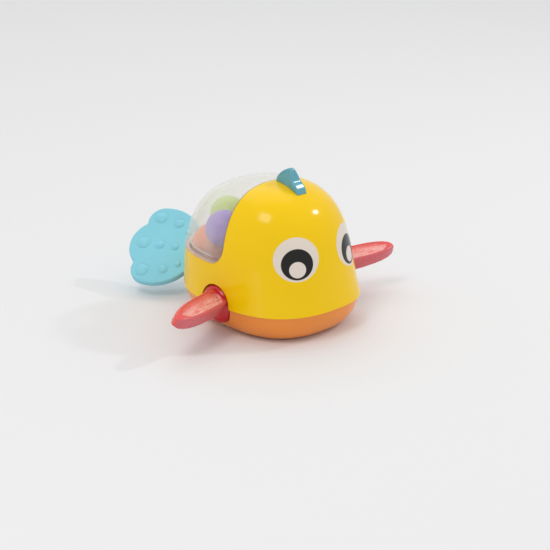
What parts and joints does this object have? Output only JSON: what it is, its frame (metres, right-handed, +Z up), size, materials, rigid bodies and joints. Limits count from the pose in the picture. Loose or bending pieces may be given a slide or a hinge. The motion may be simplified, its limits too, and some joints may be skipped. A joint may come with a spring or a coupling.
{
  "type": "swimming fish bath toy",
  "caption": "Floating wind-up bath toy fish: clear rear dome over loose balls, twin paddle fins on one cross axle, and a soft tail on a pull cord that winds the spring motor.",
  "frame": {"origin": "centre of the hull's flat underside, straight below the fins' cross axle", "axes": "+Z up, -Y towards the nose, +Y towards the tail, +X towards the fish's left side"},
  "size_m": [0.1838, 0.1589, 0.0961],
  "materials": {
    "upper_shell": "glossy moulded yellow plastic with printed eyes",
    "clear_dome": "clear polished plastic",
    "base_hull": "glossy moulded orange plastic",
    "dorsal_fin": "soft glossy teal rubber",
    "right_fin": "soft glossy translucent red rubber",
    "left_fin": "soft glossy translucent red rubber",
    "tail_blade": "soft satin light blue rubber",
    "tail_plug": "hard light blue plastic",
    "paddle_axle": "drawn stainless steel",
    "axle_gear": "natural acetal",
    "idler_gear": "natural acetal",
    "drive_gear": "natural acetal",
    "cord_reel": "natural acetal",
    "reel_pawl": "natural acetal",
    "mainspring": "blued spring steel strip",
    "motor_case": "plain white plastic",
    "motor_cover": "plain white plastic",
    "idler_pin": "drawn stainless steel",
    "reel_pin": "drawn stainless steel",
    "right_bush": "natural acetal",
    "left_bush": "natural acetal",
    "cord_winding": "white braided cord",
    "pull_cord": "white braided cord",
    "cord_knob": "white knotted cord",
    "cord_gland": "plain brass eyelet",
    "ball_tray": "moulded orange plastic",
    "purple_balls": "glossy purple plastic",
    "green_balls": "glossy lime green plastic",
    "orange_balls": "glossy orange plastic",
    "body_screws": "stainless steel screws",
    "motor_screws": "stainless steel screws"
  },
  "bodies": {
    "fish": {"upper_shell": "upper_shell", "clear_dome": "clear_dome", "base_hull": "base_hull", "dorsal_fin": "dorsal_fin", "right_bush": "right_bush", "left_bush": "left_bush", "ball_tray": "ball_tray", "purple_balls": "purple_balls", "green_balls": "green_balls", "orange_balls": "orange_balls", "motor_case": "motor_case", "motor_cover": "motor_cover", "idler_pin": "idler_pin", "reel_pin": "reel_pin", "mainspring": "mainspring", "cord_gland": "cord_gland", "body_screws": "body_screws", "motor_screws": "motor_screws"},
    "paddles": {"paddle_axle": "paddle_axle", "axle_gear": "axle_gear", "right_fin": "right_fin", "left_fin": "left_fin"},
    "idler": {"idler_gear": "idler_gear"},
    "drive": {"drive_gear": "drive_gear"},
    "reel": {"cord_reel": "cord_reel", "reel_pawl": "reel_pawl", "cord_winding": "cord_winding"},
    "cord_end": {"cord_knob": "cord_knob", "pull_cord": "pull_cord"},
    "plug": {"tail_plug": "tail_plug"},
    "tail": {"tail_blade": "tail_blade"}
  },
  "joints": [
    {"name": "axle_spin", "type": "hinge", "parent": "fish", "child": "paddles", "pos_m": [0, 0, 0.018], "axis": [1, 0, 0], "continuous": true},
    {"name": "idler_spin", "type": "hinge", "parent": "fish", "child": "idler", "pos_m": [0, 0.01341, 0.01758], "axis": [1, 0, 0], "continuous": true},
    {"name": "drive_spin", "type": "hinge", "parent": "fish", "child": "drive", "pos_m": [0, 0.02753, 0.0172], "axis": [1, 0, 0], "continuous": true},
    {"name": "tail_pull", "type": "slide", "parent": "fish", "child": "cord_end", "axis": [0, 1, 0], "range_m": [0, 0.12], "stiffness_N_per_m": 12, "springref_m": -0.05, "deforming": ["pull_cord"]},
    {"name": "reel_spin", "type": "hinge", "parent": "fish", "child": "reel", "pos_m": [0, 0.02753, 0.0172], "axis": [-1, 0, 0], "range_deg": [0, 900]},
    {"name": "tail_swing", "type": "hinge", "parent": "cord_end", "child": "plug", "pos_m": [0, 0.0526, 0.0257], "axis": [0, 0, 1], "range_deg": [-60, 6]},
    {"name": "tail_roll", "type": "hinge", "parent": "plug", "child": "tail", "pos_m": [0, 0.0526, 0.0257], "axis": [-0.4568, 0.8889, 0.0332], "range_deg": [-120, 60]}
  ],
  "couplings": [
    {"joint": "idler_spin", "follows": "axle_spin", "ratio": -0.46154},
    {"joint": "drive_spin", "follows": "axle_spin", "ratio": 0.15385},
    {"joint": "reel_spin", "follows": "tail_pull", "rad_per_m": 117.65}
  ]
}
